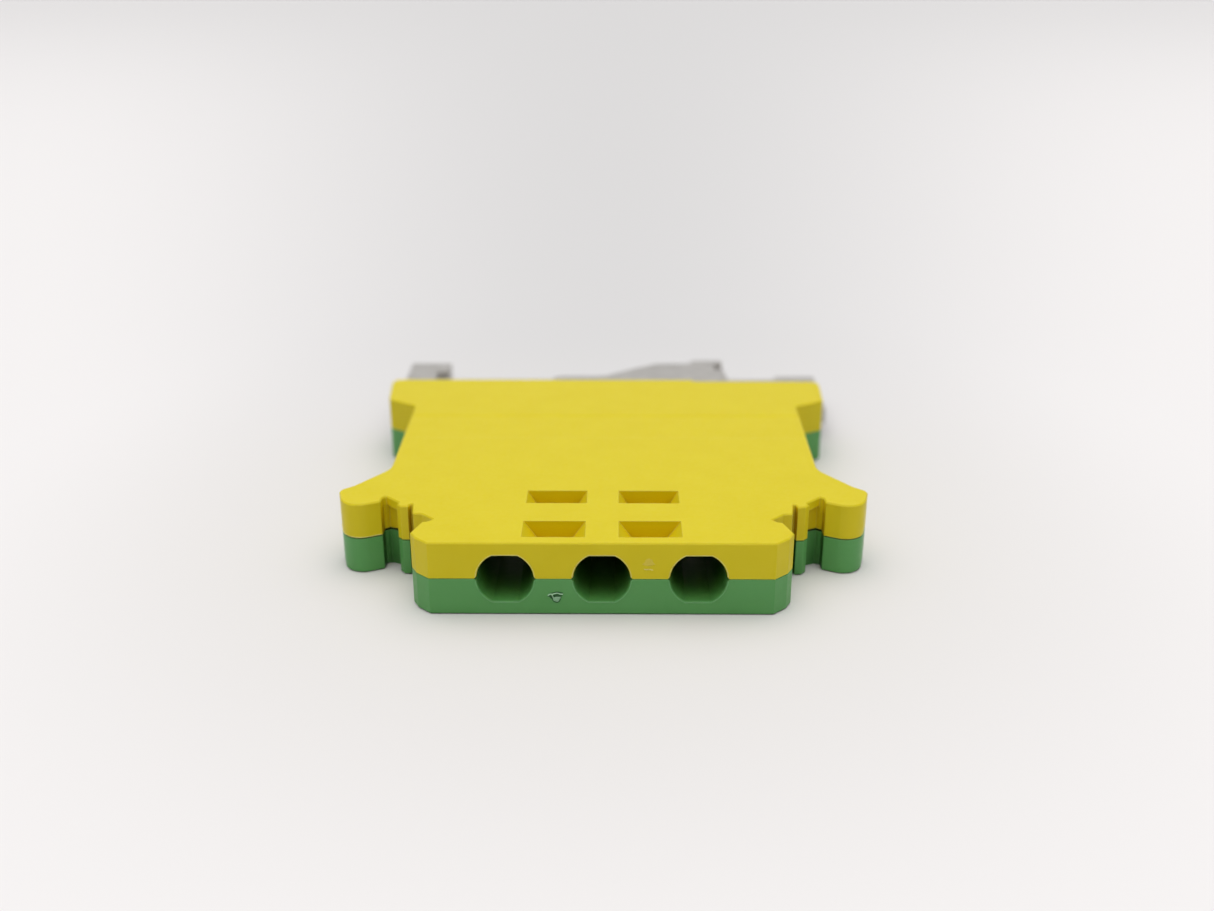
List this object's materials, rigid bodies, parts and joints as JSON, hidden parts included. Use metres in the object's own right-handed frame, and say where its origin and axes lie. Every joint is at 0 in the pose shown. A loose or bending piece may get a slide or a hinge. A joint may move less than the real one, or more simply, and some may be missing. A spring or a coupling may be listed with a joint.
{
  "type": "din rail terminal block",
  "caption": "Slim screw-clamp protective-earth terminal block in two coloured half shells, with a metal foot that hooks and clamps onto a top-hat rail.",
  "frame": {"origin": "middle of the block's length, in the plane where the rail flanges seat, on the parting plane of the two shells", "axes": "+X along the wires towards the jaw side; +Y from the screw face towards the rail; +Z across the thickness, yellow shell up, the block lying on its green side"},
  "size_m": [0.0434, 0.0451, 0.0062],
  "materials": {
    "yellow_polyamide": "moulded polyamide, satin",
    "green_polyamide": "moulded polyamide, satin",
    "foot_metal": "matt zinc plated",
    "plated_steel": "zinc plated",
    "screw_steel": "bright zinc plated",
    "tinned_brass": "tin plated brass"
  },
  "bodies": {
    "housing": {"yellow_shell": "yellow_polyamide", "green_shell": "green_polyamide", "current_bar": "tinned_brass", "foot_base": "foot_metal", "jaw_guide_pins": "screw_steel"},
    "left_clamp_screw": {"left_clamp_screw": "screw_steel"},
    "right_clamp_screw": {"right_clamp_screw": "screw_steel"},
    "foot_screw": {"foot_screw": "screw_steel"},
    "left_clamp_cage": {"left_clamp_cage": "plated_steel"},
    "right_clamp_cage": {"right_clamp_cage": "plated_steel"},
    "wedge_nut": {"wedge_nut": "plated_steel"},
    "rail_jaw": {"rail_jaw": "foot_metal"}
  },
  "joints": [
    {"name": "left_cage_rise", "type": "slide", "parent": "housing", "child": "left_clamp_cage", "axis": [0, -1, 0], "range_m": [0, 0.0032]},
    {"name": "left_clamp_turn", "type": "hinge", "parent": "housing", "child": "left_clamp_screw", "pos_m": [-0.00734, -0.0308, 0], "axis": [0, 1, 0], "range_deg": [0, 2305]},
    {"name": "right_cage_rise", "type": "slide", "parent": "housing", "child": "right_clamp_cage", "axis": [0, -1, 0], "range_m": [0, 0.0032]},
    {"name": "right_clamp_turn", "type": "hinge", "parent": "housing", "child": "right_clamp_screw", "pos_m": [0.00734, -0.0308, 0], "axis": [0, 1, 0], "range_deg": [0, 2305]},
    {"name": "wedge_nut_rise", "type": "slide", "parent": "housing", "child": "wedge_nut", "axis": [0, -1, 0], "range_m": [0, 0.0015]},
    {"name": "foot_screw_turn", "type": "hinge", "parent": "housing", "child": "foot_screw", "pos_m": [0, -0.0243, 0], "axis": [0, 1, 0], "range_deg": [0, 1081]},
    {"name": "rail_jaw_grip", "type": "slide", "parent": "housing", "child": "rail_jaw", "axis": [-1, 0, 0], "range_m": [0, 0.0015]}
  ],
  "couplings": [
    {"joint": "left_clamp_turn", "follows": "left_cage_rise", "rad_per_m": 12566},
    {"joint": "right_clamp_turn", "follows": "right_cage_rise", "rad_per_m": 12566},
    {"joint": "foot_screw_turn", "follows": "wedge_nut_rise", "rad_per_m": 12566},
    {"joint": "rail_jaw_grip", "follows": "wedge_nut_rise", "ratio": 1}
  ]
}
